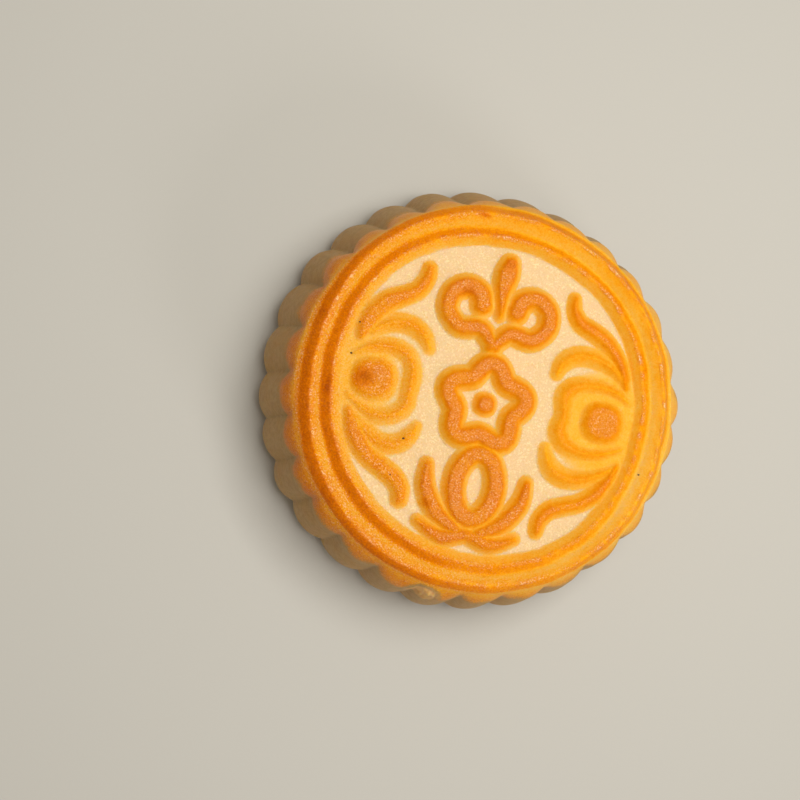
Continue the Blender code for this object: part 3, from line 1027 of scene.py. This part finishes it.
        # painted sparkle: bright specks where the toasted mark runs high, along the crests and tops
        painted_sparkle = nodes.maths("MULTIPLY", nodes.spread(toasted, 0.70, 1.20, 0.0, 0.8), nodes.spread(painted_glint_spots, 0.46, 0.58, 0.0, 1.0))
        glint_and_flour_specks = nodes.maths("MAXIMUM", glint_and_flour_specks, painted_sparkle)
        face = nodes.blend(glint_and_flour_specks, face, nodes.blend(bare, self.painted_glint, self.flour_and_glint))
        dust = nodes.maths("ADD", nodes.maths("MULTIPLY", nodes.maths("SUBTRACT", flecks, 0.5), 1.5), pale)
        side = nodes.blend(nodes.spread(dust, 0.12, 0.70, 0.0, 1.0), face, self.tan_side_in_painted_shade)
        # the mottled wall, in colours that hold painted shade
        mottled = nodes.blend(nodes.spread(crumbs, 0.36, 0.64, 0.0, 1.0), self.pale_side_in_painted_shade, self.floury_side_in_painted_shade)
        mottled = nodes.blend(nodes.spread(patches, 0.40, 0.66, 0.0, 0.25), mottled, self.tan_side_in_painted_shade)
        side = nodes.blend(nodes.spread(dust, 0.34, 1.0, 0.0, 1.0), side, mottled)
        side = nodes.blend(nodes.spread(pale, 1.1, 1.7, 0.0, 0.85), side, self.crumb)
        under = nodes.blend(nodes.maths("MULTIPLY", nodes.painted(Mark.FOOT), patches), side, self.foot)
        nodes.feed(shader, "Base Color", under)
        wash = nodes.spread(baked, 0.1, 0.6, 0.52, 0.32)
        rough = nodes.maths("ADD", wash, nodes.maths("MULTIPLY", pale, 0.3), clamp=True)
        nodes.feed(shader, "Roughness", rough)
        height = nodes.maths("MULTIPLY", nodes.maths("ADD", fine.outputs["Height"], flecks), coarse_skin)
        height = nodes.maths("MULTIPLY", height, nodes.spread(bare, 0.0, 1.0, 1.0, 0.6))
        bump = nodes.add("ShaderNodeBump", Strength=0.9, Distance=0.19 * MM, Height=height)
        nodes.feed(shader, "Normal", bump.outputs[0])
        shader.inputs["Specular IOR Level"].default_value = 0.36
        shader.inputs["Specular Tint"].default_value = (1.0, 0.62, 0.02, 1.0)
        shader.inputs["Subsurface Weight"].default_value = 0.60
        shader.inputs["Subsurface Radius"].default_value = (1.0, 0.50, 0.12)
        shader.inputs["Subsurface Scale"].default_value = 2.0 * MM
        return made

    def set_ramp(self, ramp: bpy.types.ColorRamp) -> None:
        """Set the colours that the crust runs through as it bakes, evenly spaced."""
        while len(ramp.elements) < len(self.bake):
            ramp.elements.new(0.5)
        for index, (element, colour) in enumerate(zip(ramp.elements, self.bake)):
            element.position = index / (len(self.bake) - 1)
            element.color = colour


@dataclass(frozen=True)
class BurntCrumb:
    """The finish of the burnt flecks."""

    colours: tuple[Colour, Colour] = ((0.035, 0.012, 0.005, 1.0), (0.09, 0.030, 0.010, 1.0))
    roughness: float = 0.6

    def material(self, grain: bpy.types.NodeTree) -> bpy.types.Material:
        """Return the burnt finish, which uses the shared grain group."""
        made = bpy.data.materials.new("burnt_crumb")
        made.use_nodes = True
        nodes = Nodes(made.node_tree)
        shader = made.node_tree.nodes["Principled BSDF"]
        place = nodes.add("ShaderNodeTexCoord").outputs["Object"]
        millimetres = nodes.add("ShaderNodeMapping", Vector=place, Scale=(1 / MM, 1 / MM, 1 / MM)).outputs[0]
        fine = nodes.add("ShaderNodeGroup", {"node_tree": grain}, Place=millimetres, Scale=9.0)
        nodes.feed(shader, "Base Color", nodes.blend(fine.outputs["Height"], *self.colours))
        bump = nodes.add("ShaderNodeBump", Strength=0.8, Distance=0.05 * MM, Height=fine.outputs["Height"])
        nodes.feed(shader, "Normal", bump.outputs[0])
        shader.inputs["Roughness"].default_value = self.roughness
        return made


@dataclass(frozen=True)
class PaleTable:
    """The plain pale surface under the cake."""

    colour: Colour = (0.53, 0.525, 0.525, 1.0)
    half_width: float = 6.0

    def build(self, grain: bpy.types.NodeTree) -> bpy.types.Object:
        """Make the table top at the height of the cake's base."""
        sheet = bmesh.new()
        bmesh.ops.create_grid(sheet, x_segments=1, y_segments=1, size=self.half_width)
        mesh = bpy.data.meshes.new("table_top")
        sheet.to_mesh(mesh)
        sheet.free()
        top = bpy.data.objects.new("table_top", mesh)
        bpy.context.collection.objects.link(top)
        paint = bpy.data.materials.new("table_paint")
        paint.use_nodes = True
        nodes = Nodes(paint.node_tree)
        shader = paint.node_tree.nodes["Principled BSDF"]
        place = nodes.add("ShaderNodeTexCoord").outputs["Object"]
        fine = nodes.add("ShaderNodeGroup", {"node_tree": grain}, Place=place, Scale=900.0)
        bump = nodes.add("ShaderNodeBump", Strength=0.1, Distance=0.1 * MM, Height=fine.outputs["Height"])
        nodes.feed(shader, "Normal", bump.outputs[0])
        shader.inputs["Base Color"].default_value = self.colour
        shader.inputs["Roughness"].default_value = 0.7
        mesh.materials.append(paint)
        return top


@dataclass(frozen=True)
class Studio:
    """Soft light from the right and the camera that looks down on the face."""

    azimuth: float = -161.8
    elevation: float = 77.76
    distance: float = 269.3
    aim: tuple[float, float] = (-14.9, -3.6)
    up_heading: float = 101.2
    lens: float = 72.0
    sensor: float = 36.0

    def place_camera(self, height: float) -> None:
        """Place the camera over the cake.

        Args:
            height: Height of the crest of the cake's rings, in millimetres.
        """
        turn, lift = math.radians(self.azimuth), math.radians(self.elevation)
        away = Vector((math.cos(lift) * math.cos(turn), math.cos(lift) * math.sin(turn), math.sin(lift)))
        eye = Vector((0.0, 0.0, height)) + away * self.distance
        target = Vector((self.aim[0], self.aim[1], height))
        back = (eye - target).normalized()
        heading = math.radians(self.up_heading)
        up = Vector((math.cos(heading), math.sin(heading), 0.0))
        right = up.cross(back).normalized()
        up = back.cross(right)
        lens = bpy.data.cameras.new("camera")
        lens.lens = self.lens
        lens.sensor_width = self.sensor
        lens.clip_start = 0.01
        camera = bpy.data.objects.new("camera", lens)
        pose = Matrix((right, up, back)).transposed().to_4x4()
        pose.translation = eye * MM
        camera.matrix_world = pose
        bpy.context.collection.objects.link(camera)
        bpy.context.scene.camera = camera

    def add_light(self, name: str, azimuth: float, elevation: float, distance: float, size: float, power: float,
                  colour: tuple[float, float, float]) -> None:
        """Add a square soft light that faces the cake.

        Args:
            name: Name of the light.
            azimuth: Direction from the cake around the Z axis.
            elevation: Direction from the cake over the table.
            distance: How far it stands from the cake, in metres.
            size: Its width in metres.
            power: Its power in watts.
            colour: Its colour.
        """
        turn, lift = math.radians(azimuth), math.radians(elevation)
        away = Vector((math.cos(lift) * math.cos(turn), math.cos(lift) * math.sin(turn), math.sin(lift)))
        lamp = bpy.data.lights.new(name, "AREA")
        lamp.size = size
        lamp.energy = power
        lamp.color = colour
        holder = bpy.data.objects.new(name, lamp)
        holder.location = away * distance
        holder.rotation_euler = away.to_track_quat("Z", "Y").to_euler()
        bpy.context.collection.objects.link(holder)

    def light(self) -> None:
        """Set up the key light, the low side light and the pale surroundings."""
        self.add_light("key", 40.0, 78.0, 0.40, 0.22, 1.35, (1.0, 0.97, 0.86))
        self.add_light("side", -42.0, 32.0, 1.0, 0.30, 1.7, (1.0, 0.94, 0.86))
        world = bpy.data.worlds.new("studio")
        world.use_nodes = True
        world.node_tree.nodes["Background"].inputs["Color"].default_value = (1.0, 0.89, 0.69, 1.0)
        world.node_tree.nodes["Background"].inputs["Strength"].default_value = 0.30
        bpy.context.scene.world = world
        bpy.context.scene.view_settings.view_transform = "Standard"


def main() -> None:
    """Build the cake, the table and the studio, and report each."""
    logging.basicConfig(level=logging.INFO, format="%(message)s")
    grain = pastry_grain()
    cake_maker = Cake()
    cake = cake_maker.build()
    cake.data.materials.append(EggWashedCrust().material(grain))
    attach(cake, "root")
    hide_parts(NODE)
    LOG.info("cake: %d faces", len(cake.data.polygons))
    flecks = BurntFlecks().build(cake_maker)
    flecks.data.materials.append(BurntCrumb().material(grain))
    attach(flecks, "root")
    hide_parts(NODE)
    LOG.info("flecks: %d faces", len(flecks.data.polygons))
    table = PaleTable().build(grain)
    LOG.info("table: %s", table.name)
    studio = Studio()
    studio.place_camera(cake_maker.height)
    studio.light()
    LOG.info("studio: camera and lights")


if __name__ == "__main__":
    main()
